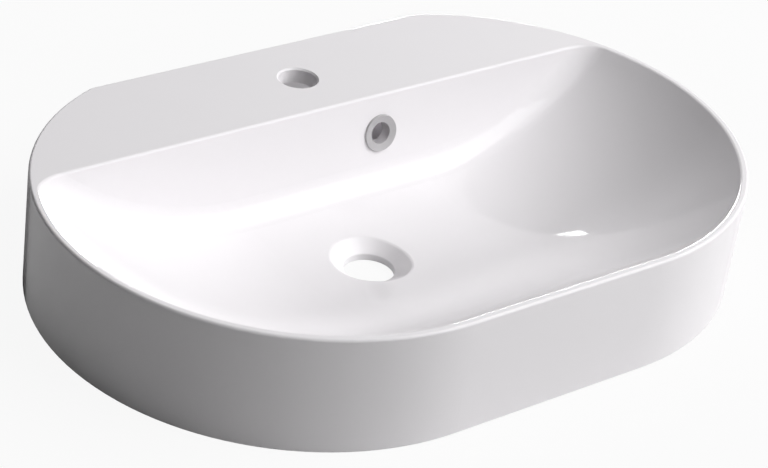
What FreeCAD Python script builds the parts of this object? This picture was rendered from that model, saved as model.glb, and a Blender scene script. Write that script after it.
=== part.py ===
import FreeCAD
import Part
import Sketcher
import math
import os

# Washbasin of glazed ceramic: a long rounded bowl with a flat tap deck at the back, seen as one casting,
# and the trim ring and rubber grip that are pushed into its overflow hole.
# Frame: millimetres, +X to the right, +Y to the back (deck side), +Z up, origin at the middle of the base.

doc = FreeCAD.newDocument("washbasin")
sheet = doc.addObject("Spreadsheet::Sheet", "dims")

DRIVING_SIZES = [
    # Outside of the casting
    ("length", 650.0),
    ("depth", 440.0),
    ("height", 106.0),
    ("back_cut", 14.0),
    ("skirt_wall", 11.0),
    ("deck_thickness", 14.0),
    ("back_corner_radius", 4.0),
    ("rim_outer_radius", 2.5),
    ("foot_bevel", 1.5),
    # Bowl: a dish of one arc, cut off at the back by a leaning wall
    ("rim_width", 6.5),
    ("rim_inner_radius", 3.0),
    ("floor_height", 16.0),
    ("bowl_wall", 9.0),
    ("deck_width", 115.0),
    ("wall_lean", 11.4),
    ("valley_radius", 26.0),
    # Tap hole in the deck
    ("tap_hole_diameter", 35.0),
    ("tap_from_back", 60.0),
    ("tap_bevel", 1.5),
    # Waste hole, placed from the bowl's lowest line, with its funnel and the boss below it
    ("waste_left", 25.5),
    ("waste_forward", 9.0),
    ("waste_diameter", 45.0),
    ("waste_lip", 6.0),
    ("base_clearance", 1.0),
    ("funnel_diameter", 69.0),
    ("funnel_edge_radius", 4.0),
    ("lip_edge_radius", 1.0),
    ("boss_diameter", 92.0),
    # Overflow hole in the leaning wall, and the duct behind it
    ("overflow_right", 51.0),
    ("overflow_drop", 36.2),
    ("duct_width", 60.0),
    ("duct_reach", 46.0),
    ("duct_wall", 8.0),
    ("duct_outlet_diameter", 22.0),
    # Trim ring and rubber grip
    ("ring_bore_diameter", 20.0),
    ("ring_wall", 1.5),
    ("ring_overlap", 3.75),
    ("ring_flange_thickness", 1.8),
    ("ring_bevel", 0.7),
    ("ring_dish_depth", 1.2),
    ("ring_sleeve_length", 11.0),
    ("grip_thickness", 1.8),
    ("grip_start", 1.2),
    ("grip_length", 7.2),
    ("grip_bevel", 1.0),
    ("fit_clearance", 0.1),
    # How far every cutting solid runs past the face that it opens
    ("overrun", 5.0),
]
VALLEY_SAMPLES = 9
QUARTER_TURN = 90.0
FULL_TURN = 360.0

# Sizes and places worked out from the sheet, as expressions for the features
END_RADIUS = "((dims.depth + dims.back_cut) / 2)"
END_CENTRE = "(dims.length / 2 - %s)" % END_RADIUS
DISH_REACH = "(%s - dims.rim_width)" % END_RADIUS
DISH_RISE = "(dims.height - dims.floor_height)"
DISH_RADIUS = "((%s ^ 2 + %s ^ 2) / (2 * %s))" % (DISH_REACH, DISH_RISE, DISH_RISE)
LEAN = "(dims.wall_lean * 1 deg)"
DECK_EDGE_Y = "(dims.depth / 2 - dims.deck_width)"
WASTE_X = "(-dims.waste_left)"
WASTE_Y = "(dims.back_cut / 2 - dims.waste_forward)"
LIP_TOP = "(dims.base_clearance + dims.waste_lip)"
FUNNEL_DEPTH = "(dims.floor_height - dims.base_clearance - dims.waste_lip)"
OVERFLOW_Y = "(%s - dims.overflow_drop * sin%s)" % (DECK_EDGE_Y, LEAN)
OVERFLOW_Z = "(dims.height - dims.overflow_drop * cos%s)" % LEAN
DUCT_FRONT = "(%s - dims.height * tan%s)" % (DECK_EDGE_Y, LEAN)
DUCT_LEFT = "(dims.overflow_right - dims.duct_width / 2)"
DECK_UNDERSIDE = "(dims.height - dims.deck_thickness)"
SLEEVE_RADIUS = "(dims.ring_bore_diameter / 2 + dims.ring_wall)"
GRIP_INNER = "(%s + dims.fit_clearance)" % SLEEVE_RADIUS
GRIP_OUTER = "(%s + dims.grip_thickness)" % GRIP_INNER
HOLE_RADIUS = "(%s + dims.fit_clearance)" % GRIP_OUTER
FLANGE_RADIUS = "(%s + dims.ring_overlap)" % HOLE_RADIUS


def fill_sheet():
    for row, (alias, value) in enumerate(DRIVING_SIZES, start=1):
        sheet.set("A%d" % row, alias)
        sheet.set("B%d" % row, str(value))
        sheet.setAlias("B%d" % row, alias)
    doc.recompute()


def size(alias):
    return float(sheet.get(alias))


def new_body(label):
    body = doc.addObject("PartDesign::Body", label)
    body.Label = label
    return body


def origin_plane(body, role):
    for feature in body.Origin.OriginFeatures:
        if feature.Role == role:
            return feature
    raise ValueError("no origin plane " + role)


def new_sketch(body, role, name, offset=None):
    """A sketch on one of the body's planes; offset holds expressions for its shift along the plane's axes."""
    sketch = body.newObject("Sketcher::SketchObject", name)
    sketch.AttachmentSupport = [(origin_plane(body, role), "")]
    sketch.MapMode = "FlatFace"
    for axis, expression in (offset or {}).items():
        sketch.setExpression("AttachmentOffset.Base." + axis, expression)
    doc.recompute()
    return sketch


def bind(sketch, name, expression, *constraint):
    """Add a dimension to the sketch and tie it to the sheet."""
    index = sketch.addConstraint(Sketcher.Constraint(*constraint))
    sketch.renameConstraint(index, name)
    sketch.setExpression("Constraints." + name, expression)


def relate(sketch, *relations):
    for relation in relations:
        sketch.addConstraint(Sketcher.Constraint(*relation))


def point(x, y, z=0.0):
    return FreeCAD.Vector(x, y, z)


def line(start, end):
    return Part.LineSegment(start, end)


def arc(centre, radius, start_angle, end_angle):
    circle = Part.Circle(centre, FreeCAD.Vector(0, 0, 1), radius)
    return Part.ArcOfCircle(circle, start_angle, end_angle)


def chain(sketch, count):
    """Join straight edges end to end into one closed outline."""
    for index in range(count):
        relate(sketch, ("Coincident", index, 2, (index + 1) % count, 1))


def feature(body, kind, name, profile=None):
    made = body.newObject("PartDesign::" + kind, name)
    if profile is not None:
        made.Profile = profile
    return made


# Plan outline: straight front, round ends, cut straight at the back a little short of the full width

def end_radius():
    return (size("depth") + size("back_cut")) / 2


def outline_sketch(body, name, inset):
    wall = size("skirt_wall") if inset else 0.0
    shrink = " - dims.skirt_wall" if inset else ""
    radius = end_radius() - wall
    centre_x = size("length") / 2 - end_radius()
    centre_y = size("back_cut") / 2
    back = size("depth") / 2 - wall
    front = wall - size("depth") / 2
    rise = math.asin((back - centre_y) / radius)
    corner_x = centre_x + radius * math.cos(rise)
    sketch = new_sketch(body, "XY_Plane", name)
    sketch.addGeometry([
        line(point(-centre_x, front), point(centre_x, front)),
        arc(point(centre_x, centre_y), radius, -math.pi / 2, rise),
        line(point(corner_x, back), point(-corner_x, back)),
        arc(point(-centre_x, centre_y), radius, math.pi - rise, 3 * math.pi / 2),
    ], False)
    relate(
        sketch,
        ("Tangent", 0, 2, 1, 1),
        ("Coincident", 1, 2, 2, 1),
        ("Coincident", 2, 2, 3, 1),
        ("Tangent", 3, 2, 0, 1),
        ("Horizontal", 2),
        ("Symmetric", 1, 3, 3, 3, -2),
        ("Equal", 1, 3),
    )
    bind(sketch, "end_radius", END_RADIUS + shrink, "Radius", 1, radius)
    bind(sketch, "end_centre", END_CENTRE, "DistanceX", -1, 1, 1, 3, centre_x)
    bind(sketch, "front_reach", "dims.depth / 2" + shrink, "DistanceY", 0, 1, -1, 1, -front)
    bind(sketch, "back_reach", "dims.depth / 2" + shrink, "DistanceY", -1, 1, 2, 1, back)
    return sketch


def make_block():
    """The outside of the casting as a full block, its two back corners softened and its foot bevelled."""
    body = new_body("outer_block")
    pad = feature(body, "Pad", "block_pad", outline_sketch(body, "block_outline", False))
    pad.setExpression("Length", "dims.height")
    doc.recompute()
    corner_edges = []
    for index, edge in enumerate(pad.Shape.Edges, start=1):
        upright = len(edge.Vertexes) == 2 and edge.BoundBox.ZLength > size("height") / 2
        if upright and edge.BoundBox.YMin > size("back_cut") / 2:
            corner_edges.append("Edge%d" % index)
    corners = feature(body, "Fillet", "block_corners")
    corners.Base = (pad, corner_edges)
    corners.setExpression("Radius", "dims.back_corner_radius")
    doc.recompute()
    foot_edges = []
    for index, edge in enumerate(corners.Shape.Edges, start=1):
        if edge.BoundBox.ZMax < size("fit_clearance"):
            foot_edges.append("Edge%d" % index)
    foot = feature(body, "Chamfer", "block_foot")
    foot.Base = (corners, foot_edges)
    foot.setExpression("Size", "dims.foot_bevel")
    return body


def make_inset():
    """The space inside the skirt, open at the base and closed by the deck."""
    body = new_body("skirt_space")
    sketch = outline_sketch(body, "space_outline", True)
    sketch.setExpression("AttachmentOffset.Base.z", "-dims.overrun")
    pad = feature(body, "Pad", "space_pad", sketch)
    pad.setExpression("Length", "dims.height - dims.deck_thickness + dims.overrun")
    return body


# Bowl: the lower part of a long level capsule, so the middle is a trough and both ends are parts of balls,
# cut off by the leaning wall; its underside is the same with the thickness of the bowl added

def capsule_section(body, name, grow, grow_text):
    """Half of the capsule above its own axis, which lies straight over the floor of the bowl."""
    reach = end_radius() - size("rim_width")
    rise = size("height") - size("floor_height")
    radius = (reach ** 2 + rise ** 2) / (2 * rise) + grow
    centre = size("length") / 2 - end_radius()
    axis_level = "dims.floor_height + " + DISH_RADIUS
    sketch = new_sketch(body, "XZ_Plane", name, {"y": axis_level, "z": "-dims.back_cut / 2"})
    sketch.addGeometry([
        line(point(-centre - radius, 0), point(centre + radius, 0)),
        arc(point(centre, 0), radius, 0, math.pi / 2),
        line(point(centre, radius), point(-centre, radius)),
        arc(point(-centre, 0), radius, math.pi / 2, math.pi),
    ], False)
    relate(
        sketch,
        ("Coincident", 0, 2, 1, 1),
        ("Tangent", 1, 2, 2, 1),
        ("Tangent", 2, 2, 3, 1),
        ("Coincident", 3, 2, 0, 1),
        ("PointOnObject", 0, 1, -1),
        ("PointOnObject", 1, 3, -1),
        ("Symmetric", 1, 3, 3, 3, -2),
        ("PointOnObject", 0, 2, -1),
    )
    bind(sketch, "radius", DISH_RADIUS + grow_text, "Radius", 1, radius)
    bind(sketch, "end_centre", END_CENTRE, "DistanceX", -1, 1, 1, 3, centre)
    return sketch


def trim_section(body, name, grow, grow_text):
    """All that lies behind the leaning wall or above the rim, as a six-sided section to cut away."""
    lean = math.radians(size("wall_lean"))
    over = size("overrun")
    edge_y = size("depth") / 2 - size("deck_width") + grow / math.cos(lean)
    top = size("height") + over
    low_y = edge_y - (size("height") + over) * math.tan(lean)
    high_y = edge_y + over * math.tan(lean)
    far = size("length")
    sketch = new_sketch(body, "YZ_Plane", name)
    corners = [
        point(low_y, -over), point(high_y, top), point(-far, top), point(-far, 2 * far), point(far, 2 * far),
        point(far, -over),
    ]
    sketch.addGeometry([line(a, b) for a, b in zip(corners, corners[1:] + corners[:1])], False)
    sketch.addGeometry(Part.Point(point(edge_y, size("height"))), True)
    chain(sketch, len(corners))
    relate(
        sketch,
        ("Horizontal", 1),
        ("Vertical", 2),
        ("Horizontal", 3),
        ("Vertical", 4),
        ("Horizontal", 5),
        ("PointOnObject", 6, 1, 0),
    )
    edge_text = DECK_EDGE_Y + (grow_text + " / cos" + LEAN if grow else "")
    bind(sketch, "edge_reach", edge_text, "DistanceX", -1, 1, 6, 1, edge_y)
    bind(sketch, "edge_level", "dims.height", "DistanceY", -1, 1, 6, 1, size("height"))
    bind(sketch, "lean", "(90 - dims.wall_lean) * 1 deg", "Angle", 0, math.pi / 2 - lean)
    bind(sketch, "top_level", "dims.height + dims.overrun", "DistanceY", -1, 1, 1, 1, top)
    bind(sketch, "low_level", "dims.overrun", "DistanceY", 5, 1, -1, 1, over)
    bind(sketch, "front_reach", "dims.length", "DistanceX", 2, 1, -1, 1, far)
    bind(sketch, "back_reach", "dims.length", "DistanceX", -1, 1, 4, 1, far)
    bind(sketch, "upper_level", "2 * dims.length", "DistanceY", -1, 1, 3, 1, 2 * far)
    return sketch


def make_bowl(label, grow, grow_text):
    """The bowl as a solid: the capsule, then all cut away that lies behind the wall or above the rim."""
    body = new_body(label)
    section = capsule_section(body, label + "_section", grow, grow_text)
    capsule = feature(body, "Revolution", label + "_capsule", section)
    capsule.ReferenceAxis = (section, ["H_Axis"])
    capsule.Angle = FULL_TURN
    doc.recompute()
    whole = capsule.Shape.Volume
    section = trim_section(body, label + "_trim_section", grow, grow_text)
    trim = feature(body, "Pocket", label + "_trim", section)
    trim.SideType = "Symmetric"
    trim.setExpression("Length", "4 * dims.length")
    body.Tip = trim
    doc.recompute()
    if trim.Shape.Volume >= whole:
        raise RuntimeError("the back wall cut nothing from " + label)
    return body


def round_valley(body):
    """Round the line where the dish runs into the leaning wall."""
    wall = body.Tip
    lean = math.radians(size("wall_lean"))
    normal = point(0, math.cos(lean), -math.sin(lean))
    edge = point(0, size("depth") / 2 - size("deck_width"), size("height"))
    flush = size("fit_clearance")
    names = []
    for index, candidate in enumerate(wall.Shape.Edges, start=1):
        if candidate.Degenerated:
            continue
        samples = candidate.discretize(VALLEY_SAMPLES)
        on_wall = all(abs((sample - edge).dot(normal)) < flush for sample in samples)
        below_top = candidate.BoundBox.ZMin < size("height") + size("overrun") - flush
        if on_wall and below_top:
            names.append("Edge%d" % index)
    valley = feature(body, "Fillet", body.Label + "_valley")
    valley.Base = (wall, names)
    valley.setExpression("Radius", "dims.valley_radius")
    body.Tip = valley
    doc.recompute()


def primitive(kind, label, expressions):
    """A Part primitive whose sizes and place are tied to the sheet."""
    made = doc.addObject("Part::" + kind, label)
    made.Label = label
    for name, expression in expressions.items():
        made.setExpression(name, expression)
    return made


def place(made, x, y, z):
    made.setExpression("Placement.Base.x", x)
    made.setExpression("Placement.Base.y", y)
    made.setExpression("Placement.Base.z", z)
    return made


def face_along_wall(made):
    """Turn a piece whose axis is +Z so that it points straight out of the leaning wall."""
    made.Placement = FreeCAD.Placement(point(0, 0), FreeCAD.Rotation(point(1, 0), QUARTER_TURN))
    made.setExpression("Placement.Rotation.Angle", "90 deg - " + LEAN)
    return made


def fuse(label, shapes):
    made = doc.addObject("Part::MultiFuse", label)
    made.Label = label
    made.Shapes = shapes
    return made


def cut(label, base, tool):
    made = doc.addObject("Part::Cut", label)
    made.Label = label
    made.Base = base
    made.Tool = tool
    return made


def make_waste_cut():
    """The funnel in the floor of the bowl, run on to twice its depth, and the straight hole below it."""
    funnel = primitive("Cone", "waste_funnel", {
        "Radius1": "dims.waste_diameter / 2",
        "Radius2": "dims.funnel_diameter - dims.waste_diameter / 2",
        "Height": "2 * " + FUNNEL_DEPTH,
    })
    place(funnel, WASTE_X, WASTE_Y, LIP_TOP)
    hole = primitive("Cylinder", "waste_bore", {
        "Radius": "dims.waste_diameter / 2",
        "Height": LIP_TOP + " + dims.overrun",
    })
    place(hole, WASTE_X, WASTE_Y, "-dims.overrun")
    return fuse("waste_cut", [funnel, hole])


def make_waste_boss():
    boss = primitive("Cylinder", "waste_boss", {
        "Radius": "dims.boss_diameter / 2",
        "Height": "dims.floor_height - dims.base_clearance",
    })
    return place(boss, WASTE_X, WASTE_Y, "dims.base_clearance")


def make_tap_cut():
    """The straight tap hole and the bevel round its mouth."""
    tap_y = "dims.depth / 2 - dims.tap_from_back"
    hole = primitive("Cylinder", "tap_bore", {
        "Radius": "dims.tap_hole_diameter / 2",
        "Height": "dims.deck_thickness + 2 * dims.overrun",
    })
    place(hole, "0", tap_y, DECK_UNDERSIDE + " - dims.overrun")
    mouth = primitive("Cone", "tap_mouth", {
        "Radius1": "dims.tap_hole_diameter / 2",
        "Radius2": "dims.tap_hole_diameter / 2 + dims.tap_bevel + dims.overrun",
        "Height": "dims.tap_bevel + dims.overrun",
    })
    place(mouth, "0", tap_y, "dims.height - dims.tap_bevel")
    return fuse("tap_cut", [hole, mouth])


def make_overflow_cut():
    """The round hole square to the leaning wall, from the bowl into the duct."""
    behind = "(dims.bowl_wall + dims.overrun)"
    hole = primitive("Cylinder", "overflow_cut", {
        "Radius": HOLE_RADIUS,
        "Height": "dims.bowl_wall + 2 * dims.overrun",
    })
    face_along_wall(hole)
    return place(hole, "dims.overflow_right", "%s + %s * cos%s" % (OVERFLOW_Y, behind, LEAN),
                 "%s - %s * sin%s" % (OVERFLOW_Z, behind, LEAN))


def make_duct(skin):
    """The overflow duct: a ridge cast behind the wall, the chamber in it and the outlet at its foot."""
    ridge = primitive("Box", "duct_ridge", {
        "Length": "dims.duct_width",
        "Width": "dims.duct_reach",
        "Height": DECK_UNDERSIDE + " - dims.base_clearance + dims.overrun",
    })
    place(ridge, DUCT_LEFT, DUCT_FRONT, "dims.base_clearance")
    chamber = primitive("Box", "duct_chamber", {
        "Length": "dims.duct_width - 2 * dims.duct_wall",
        "Width": "dims.duct_reach - dims.duct_wall",
        "Height": DECK_UNDERSIDE + " - dims.base_clearance - dims.duct_wall",
    })
    place(chamber, DUCT_LEFT + " + dims.duct_wall", DUCT_FRONT, "dims.base_clearance + dims.duct_wall")
    outlet = primitive("Cylinder", "duct_outlet", {
        "Radius": "dims.duct_outlet_diameter / 2",
        "Height": "dims.base_clearance + 2 * dims.duct_wall",
    })
    outlet_y = DUCT_FRONT + " + dims.duct_reach - dims.duct_wall - dims.duct_outlet_diameter / 2"
    place(outlet, "dims.overflow_right", outlet_y, "0")
    return ridge, cut("duct_space", chamber, skin), outlet


def edge_numbers(shape, member):
    """Numbers, within a shape, of the edges of one of its wires or faces."""
    numbers = []
    for number, edge in enumerate(shape.Edges, start=1):
        if any(edge.isSame(own) for own in member.Edges):
            numbers.append(number)
    return numbers


def flat_face_at(shape, level, normal_z):
    """The largest flat face at a height whose outward normal points up (1) or down (-1)."""
    found = []
    for face in shape.Faces:
        flat = isinstance(face.Surface, Part.Plane) and face.BoundBox.ZLength < size("fit_clearance")
        there = abs(face.BoundBox.ZMax - level) < size("fit_clearance")
        if flat and there and face.normalAt(0, 0).z * normal_z > 0:
            found.append(face)
    return max(found, key=lambda face: face.Area)


def funnel_face(shape):
    lip_top = size("base_clearance") + size("waste_lip")
    for face in shape.Faces:
        if isinstance(face.Surface, Part.Cone) and abs(face.BoundBox.ZMin - lip_top) < size("fit_clearance"):
            return face
    raise ValueError("the funnel is missing")


def rounded_edges(shape):
    """Edge numbers of the casting with the radius that each one gets."""
    top = flat_face_at(shape, size("height"), 1)
    inner = [wire for wire in top.Wires if not wire.isSame(top.OuterWire)]
    bowl_mouth = max(inner, key=lambda wire: wire.Length)
    rounded = [(number, size("rim_outer_radius")) for number in edge_numbers(shape, top.OuterWire)]
    rounded += [(number, size("rim_inner_radius")) for number in edge_numbers(shape, bowl_mouth)]
    funnel = funnel_face(shape)
    for number in edge_numbers(shape, funnel):
        edge = shape.Edges[number - 1]
        low = edge.BoundBox.ZMax < funnel.BoundBox.ZMin + size("fit_clearance")
        if not edge.isSeam(funnel):
            rounded.append((number, size("lip_edge_radius") if low else size("funnel_edge_radius")))
    return [(number, radius, radius) for number, radius in rounded]


def make_basin():
    block = make_block()
    space = make_inset()
    cavity = make_bowl("bowl_cavity", 0.0, "")
    round_valley(cavity)
    skin = make_bowl("bowl_skin", size("bowl_wall"), " + dims.bowl_wall")
    ridge, duct_space, outlet = make_duct(skin)
    kept = fuse("bowl_kept", [skin, ridge, make_waste_boss()])
    hollow = cut("underside_hollow", space, kept)
    holes = [outlet, make_waste_cut(), make_tap_cut(), make_overflow_cut()]
    removed = fuse("removed", [hollow, duct_space, cavity] + holes)
    raw = cut("basin_raw", block, removed)
    doc.recompute()
    basin = doc.addObject("Part::Fillet", "basin_shell")
    basin.Label = "basin_shell"
    basin.Base = raw
    basin.Edges = rounded_edges(raw.Shape)
    return basin


# Trim ring: a thin dished flange that lies on the wall, and the sleeve that enters the hole

def make_ring():
    body = new_body("overflow_ring")
    bore = size("ring_bore_diameter") / 2
    sleeve = bore + size("ring_wall")
    seat = size("fit_clearance")
    flange = sleeve + size("grip_thickness") + 2 * seat + size("ring_overlap")
    top = size("ring_flange_thickness")
    shoulder = flange - size("ring_bevel")
    lip = top - size("ring_dish_depth")
    low = -size("ring_sleeve_length")
    corners = [
        point(bore, lip), point(bore, low), point(sleeve, low), point(sleeve, seat),
        point(flange, seat), point(shoulder, top),
    ]
    sketch = new_sketch(body, "XZ_Plane", "ring_section")
    sketch.addGeometry([line(a, b) for a, b in zip(corners, corners[1:] + corners[:1])], False)
    chain(sketch, len(corners))
    relate(sketch, ("Vertical", 0), ("Horizontal", 1), ("Vertical", 2), ("Horizontal", 3))
    bind(sketch, "bore_radius", "dims.ring_bore_diameter / 2", "DistanceX", -1, 1, 0, 1, bore)
    bind(sketch, "sleeve_radius", SLEEVE_RADIUS, "DistanceX", -1, 1, 2, 1, sleeve)
    bind(sketch, "flange_radius", FLANGE_RADIUS, "DistanceX", -1, 1, 4, 1, flange)
    bind(sketch, "bevel", "dims.ring_bevel", "DistanceX", 4, 2, 4, 1, size("ring_bevel"))
    bind(sketch, "seat", "dims.fit_clearance", "DistanceY", -1, 1, 3, 1, seat)
    bind(sketch, "thickness", "dims.ring_flange_thickness", "DistanceY", -1, 1, 4, 2, top)
    bind(sketch, "dish", "dims.ring_dish_depth", "DistanceY", 0, 1, 4, 2, size("ring_dish_depth"))
    bind(sketch, "sleeve_end", "dims.ring_sleeve_length", "DistanceY", 0, 2, -1, 1, -low)
    ring = feature(body, "Revolution", "ring_turned", sketch)
    ring.ReferenceAxis = (sketch, ["V_Axis"])
    ring.Angle = FULL_TURN
    face_along_wall(body)
    return place(body, "dims.overflow_right", OVERFLOW_Y, OVERFLOW_Z)


# Rubber grip: a tube that fills the hole round the sleeve, with a bevel to lead it in

def make_grip():
    body = new_body("overflow_grip")
    inner = size("ring_bore_diameter") / 2 + size("ring_wall") + size("fit_clearance")
    outer = inner + size("grip_thickness")
    high = -size("grip_start")
    low = high - size("grip_length")
    bevel = size("grip_bevel")
    corners = [
        point(inner, high), point(inner, low), point(outer - bevel, low), point(outer, low + bevel),
        point(outer, high),
    ]
    sketch = new_sketch(body, "XZ_Plane", "grip_section")
    sketch.addGeometry([line(a, b) for a, b in zip(corners, corners[1:] + corners[:1])], False)
    chain(sketch, len(corners))
    relate(sketch, ("Vertical", 0), ("Horizontal", 1), ("Vertical", 3), ("Horizontal", 4))
    bind(sketch, "inner_radius", GRIP_INNER, "DistanceX", -1, 1, 0, 1, inner)
    bind(sketch, "outer_radius", GRIP_OUTER, "DistanceX", -1, 1, 3, 1, outer)
    bind(sketch, "bevel_in", "dims.grip_bevel", "DistanceX", 2, 1, 2, 2, bevel)
    bind(sketch, "bevel_up", "dims.grip_bevel", "DistanceY", 2, 1, 2, 2, bevel)
    bind(sketch, "start", "dims.grip_start", "DistanceY", 0, 1, -1, 1, size("grip_start"))
    bind(sketch, "length", "dims.grip_length", "DistanceY", 0, 2, 0, 1, size("grip_length"))
    grip = feature(body, "Revolution", "grip_turned", sketch)
    grip.ReferenceAxis = (sketch, ["V_Axis"])
    grip.Angle = FULL_TURN
    face_along_wall(body)
    return place(body, "dims.overflow_right", OVERFLOW_Y, OVERFLOW_Z)


def check_document(pieces):
    """Stop before anything is written if a feature failed or a piece is not one sound solid."""
    for made in doc.Objects:
        if "Invalid" in made.State or "Error" in made.State:
            raise RuntimeError("%s failed: %s" % (made.Label, made.State))
    for piece in pieces:
        if piece.Shape.isNull() or not piece.Shape.isValid() or len(piece.Shape.Solids) != 1:
            raise RuntimeError("%s is not one sound solid" % piece.Label)


def main():
    fill_sheet()
    pieces = [make_basin(), make_ring(), make_grip()]
    doc.recompute()
    check_document(pieces)
    os.makedirs("parts", exist_ok=True)
    for piece in pieces:
        piece.Shape.exportStep("parts/%s.step" % piece.Label)
        box = piece.Shape.optimalBoundingBox()
        print("%s: volume %.0f mm3, %d faces, x %.1f to %.1f, y %.1f to %.1f, z %.1f to %.1f" % (
            piece.Label, piece.Shape.Volume, len(piece.Shape.Faces),
            box.XMin, box.XMax, box.YMin, box.YMax, box.ZMin, box.ZMax))


main()
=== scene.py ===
import math
import bpy
from mathutils import Matrix, Vector

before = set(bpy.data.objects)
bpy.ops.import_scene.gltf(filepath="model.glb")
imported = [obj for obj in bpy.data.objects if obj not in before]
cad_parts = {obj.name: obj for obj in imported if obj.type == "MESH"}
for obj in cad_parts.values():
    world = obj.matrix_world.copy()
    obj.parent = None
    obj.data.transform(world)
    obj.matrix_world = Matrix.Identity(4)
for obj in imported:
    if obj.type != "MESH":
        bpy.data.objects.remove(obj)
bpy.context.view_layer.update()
scene = bpy.context.scene

# Lengths are in metres and angles in degrees, unless a comment says otherwise

# Camera, fitted to the photograph; focal length and image width in pixels, sensor width in millimetres
CAMERA_AZIMUTH = -40.73
CAMERA_ELEVATION = 31.46
CAMERA_ROLL = -8.09
CAMERA_TARGET = (0.0273, 0.0459, 0.0)
CAMERA_DISTANCE = 2.1747
CAMERA_FOCAL_PIXELS = 2455.3
IMAGE_WIDTH = 768
SENSOR_WIDTH = 36.0

# Soft studio lamps: azimuth from +X, elevation, distance from the target, width, height and power in watts
LAMP_TARGET = (0.0, 0.0, 0.05)
LAMPS = {
    "key": (321.0, 43.0, 5.0, 4.6, 4.6, 326.0),
    "top": (270.0, 75.0, 2.6, 1.1, 1.1, 8.0),
    "back": (49.0, 18.0, 2.6, 0.5, 0.3, 21.0),
    "window": (55.4, 21.4, 2.6, 0.18, 0.13, 1.4),
}

# Faint lamps in the closed hollows, so that the holes look grey and not black: place and power in watts
HOLLOW_LAMPS = {
    "under_deck": ((0.03, 0.17, 0.02), 0.03),
    "duct": ((0.051, 0.113, 0.087), 0.005),
}
HOLLOW_LAMP_RADIUS = 0.004

# A trace of even light from all round
WORLD_COLOUR = (1.0, 1.0, 1.0, 1.0)
WORLD_STRENGTH = 0.01

# Each surface drifts between a colour and a cloud colour and between two roughnesses

# Floor: pale, and mostly white where it is seen straight, in a reflection or through a hole
FLOOR_SIZE = 20.0
FLOOR_COLOUR = (0.60, 0.60, 0.60, 1.0)
FLOOR_CLOUD_COLOUR = (0.57, 0.57, 0.57, 1.0)
FLOOR_ROUGHNESS = (0.8, 0.9)
FLOOR_CLOUD_SCALE = 1.0
FLOOR_SHINE = 0.0
FLOOR_WHITE_SHARE = 0.92

# Glaze: its gloss fades between two slants, where 0 is seen straight on and 1 edge on
GLAZE_COLOUR = (0.872, 0.852, 0.872, 1.0)
GLAZE_CLOUD_COLOUR = (0.858, 0.840, 0.858, 1.0)
GLAZE_ROUGHNESS = (0.035, 0.06)
GLAZE_CLOUD_SCALE = 9.0
GLAZE_SHINE = 0.2
GLAZE_EDGE_SHINE = 0.0
GLAZE_EDGE_FROM = 0.45
GLAZE_EDGE_TO = 0.88
GLAZE_RIPPLE_SCALE = 55.0
GLAZE_RIPPLE_HEIGHT = 0.00002

# Satin trim of the overflow ring
TRIM_COLOUR = (0.53, 0.52, 0.53, 1.0)
TRIM_CLOUD_COLOUR = (0.49, 0.48, 0.49, 1.0)
TRIM_ROUGHNESS = (0.38, 0.46)
TRIM_CLOUD_SCALE = 240.0
TRIM_METALLIC = 0.4

# Rubber of the grip
RUBBER_COLOUR = (0.03, 0.03, 0.032, 1.0)
RUBBER_CLOUD_COLOUR = (0.05, 0.05, 0.052, 1.0)
RUBBER_ROUGHNESS = (0.6, 0.8)
RUBBER_CLOUD_SCALE = 400.0


def make_camera():
    """A pinhole camera at the photograph's viewing angle."""
    azimuth = math.radians(CAMERA_AZIMUTH)
    elevation = math.radians(CAMERA_ELEVATION)
    roll = math.radians(CAMERA_ROLL)
    back = Vector((
        math.sin(azimuth) * math.cos(elevation),
        -math.cos(azimuth) * math.cos(elevation),
        math.sin(elevation),
    ))
    right = (-back).cross(Vector((0, 0, 1))).normalized()
    down = (-back).cross(right)
    image_right = right * math.cos(roll) + down * math.sin(roll)
    image_down = down * math.cos(roll) - right * math.sin(roll)
    place = Matrix((image_right, -image_down, back)).transposed().to_4x4()
    place.translation = Vector(CAMERA_TARGET) + back * CAMERA_DISTANCE
    data = bpy.data.cameras.new("camera")
    data.sensor_width = SENSOR_WIDTH
    data.lens = CAMERA_FOCAL_PIXELS * SENSOR_WIDTH / IMAGE_WIDTH
    camera = bpy.data.objects.new("camera", data)
    camera.matrix_world = place
    scene.collection.objects.link(camera)
    scene.camera = camera


def clouded(name, colours, roughness, scale, metallic=0.0):
    """A material whose colour and roughness drift between two values with a soft noise."""
    material = bpy.data.materials.new(name)
    material.use_nodes = True
    nodes, links = material.node_tree.nodes, material.node_tree.links
    shader = nodes["Principled BSDF"]
    shader.inputs["Metallic"].default_value = metallic
    place = nodes.new("ShaderNodeTexCoord")
    noise = nodes.new("ShaderNodeTexNoise")
    noise.inputs["Scale"].default_value = scale
    colour = nodes.new("ShaderNodeMix")
    colour.data_type = "RGBA"
    colour.inputs["A"].default_value, colour.inputs["B"].default_value = colours
    rough = nodes.new("ShaderNodeMapRange")
    rough.inputs["To Min"].default_value, rough.inputs["To Max"].default_value = roughness
    links.new(place.outputs["Object"], noise.inputs["Vector"])
    links.new(noise.outputs["Fac"], colour.inputs["Factor"])
    links.new(noise.outputs["Fac"], rough.inputs["Value"])
    links.new(colour.outputs["Result"], shader.inputs["Base Color"])
    links.new(rough.outputs["Result"], shader.inputs["Roughness"])
    return material


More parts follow.
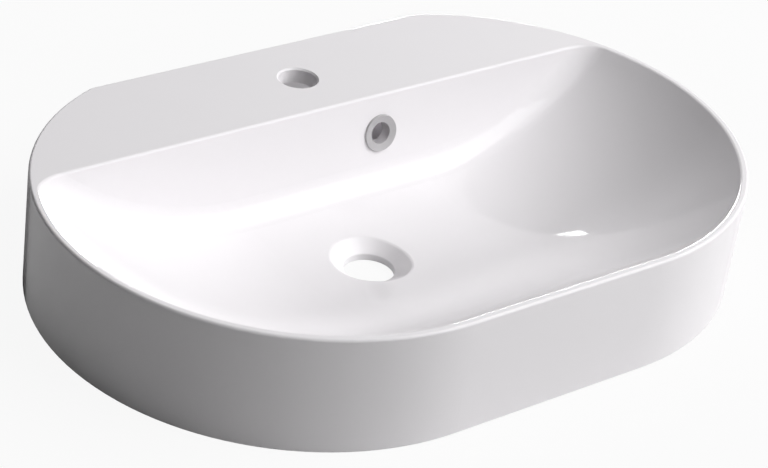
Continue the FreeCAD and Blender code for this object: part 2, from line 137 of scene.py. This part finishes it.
def glaze():
    """White glaze with the faint ripple of a fired surface; its gloss fades where it is seen edge on."""
    material = clouded("glaze", (GLAZE_COLOUR, GLAZE_CLOUD_COLOUR), GLAZE_ROUGHNESS, GLAZE_CLOUD_SCALE)
    nodes, links = material.node_tree.nodes, material.node_tree.links
    shader = nodes["Principled BSDF"]
    place = nodes["Texture Coordinate"]
    slant = nodes.new("ShaderNodeLayerWeight")
    shine = nodes.new("ShaderNodeMapRange")
    shine.interpolation_type = "SMOOTHSTEP"
    shine.inputs["From Min"].default_value = GLAZE_EDGE_FROM
    shine.inputs["From Max"].default_value = GLAZE_EDGE_TO
    shine.inputs["To Min"].default_value = GLAZE_SHINE
    shine.inputs["To Max"].default_value = GLAZE_EDGE_SHINE
    links.new(slant.outputs["Facing"], shine.inputs["Value"])
    links.new(shine.outputs["Result"], shader.inputs["Specular IOR Level"])
    ripple = nodes.new("ShaderNodeTexNoise")
    ripple.inputs["Scale"].default_value = GLAZE_RIPPLE_SCALE
    bump = nodes.new("ShaderNodeBump")
    bump.inputs["Distance"].default_value = GLAZE_RIPPLE_HEIGHT
    links.new(place.outputs["Object"], ripple.inputs["Vector"])
    links.new(ripple.outputs["Fac"], bump.inputs["Height"])
    links.new(bump.outputs["Normal"], shader.inputs["Normal"])
    return material


def trim():
    colours = (TRIM_COLOUR, TRIM_CLOUD_COLOUR)
    return clouded("trim", colours, TRIM_ROUGHNESS, TRIM_CLOUD_SCALE, TRIM_METALLIC)


def rubber():
    colours = (RUBBER_COLOUR, RUBBER_CLOUD_COLOUR)
    return clouded("grip", colours, RUBBER_ROUGHNESS, RUBBER_CLOUD_SCALE)


def dress(node_name, material):
    """Gives a node this material and no other."""
    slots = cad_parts[node_name].data.materials
    slots.clear()
    slots.append(material)


def make_floor():
    """A floor that camera, mirror and glass rays see as mostly white; the rest keeps the shadow."""
    bpy.ops.mesh.primitive_plane_add(size=FLOOR_SIZE)
    floor = bpy.context.object
    floor.name = "floor"
    material = clouded("floor", (FLOOR_COLOUR, FLOOR_CLOUD_COLOUR), FLOOR_ROUGHNESS, FLOOR_CLOUD_SCALE)
    nodes, links = material.node_tree.nodes, material.node_tree.links
    shader = nodes["Principled BSDF"]
    shader.inputs["Specular IOR Level"].default_value = FLOOR_SHINE
    white = nodes.new("ShaderNodeEmission")
    path = nodes.new("ShaderNodeLightPath")
    seen = path.outputs["Is Camera Ray"]
    for kind in ("Is Glossy Ray", "Is Transmission Ray"):
        either = nodes.new("ShaderNodeMath")
        either.operation = "MAXIMUM"
        links.new(seen, either.inputs[0])
        links.new(path.outputs[kind], either.inputs[1])
        seen = either.outputs[0]
    share = nodes.new("ShaderNodeMath")
    share.operation = "MULTIPLY"
    share.inputs[1].default_value = FLOOR_WHITE_SHARE
    mix = nodes.new("ShaderNodeMixShader")
    links.new(seen, share.inputs[0])
    links.new(share.outputs[0], mix.inputs[0])
    links.new(shader.outputs[0], mix.inputs[1])
    links.new(white.outputs[0], mix.inputs[2])
    links.new(mix.outputs[0], nodes["Material Output"].inputs["Surface"])
    floor.data.materials.append(material)


def make_world():
    world = bpy.data.worlds.new("world")
    scene.world = world
    world.use_nodes = True
    background = world.node_tree.nodes["Background"]
    background.inputs["Color"].default_value = WORLD_COLOUR
    background.inputs["Strength"].default_value = WORLD_STRENGTH


def make_lamp(name, azimuth, elevation, distance, width, height, power):
    """A rectangular lamp that faces the target."""
    turn, rise = math.radians(azimuth), math.radians(elevation)
    toward = Vector((math.cos(turn) * math.cos(rise), math.sin(turn) * math.cos(rise), math.sin(rise)))
    data = bpy.data.lights.new(name, "AREA")
    data.shape = "RECTANGLE"
    data.size, data.size_y = width, height
    data.energy = power
    lamp = bpy.data.objects.new(name, data)
    lamp.location = Vector(LAMP_TARGET) + toward * distance
    lamp.rotation_euler = (-toward).to_track_quat("-Z", "Y").to_euler()
    scene.collection.objects.link(lamp)


def make_hollow_lamp(name, place, power):
    data = bpy.data.lights.new(name, "POINT")
    data.shadow_soft_size = HOLLOW_LAMP_RADIUS
    data.energy = power
    lamp = bpy.data.objects.new(name, data)
    lamp.location = place
    scene.collection.objects.link(lamp)


make_camera()
dress("basin_shell", glaze())
dress("overflow_ring", trim())
dress("overflow_grip", rubber())
make_floor()
make_world()
for lamp_name, lamp_values in LAMPS.items():
    make_lamp(lamp_name, *lamp_values)
for lamp_name, lamp_values in HOLLOW_LAMPS.items():
    make_hollow_lamp(lamp_name, *lamp_values)
scene.view_settings.view_transform = "Standard"
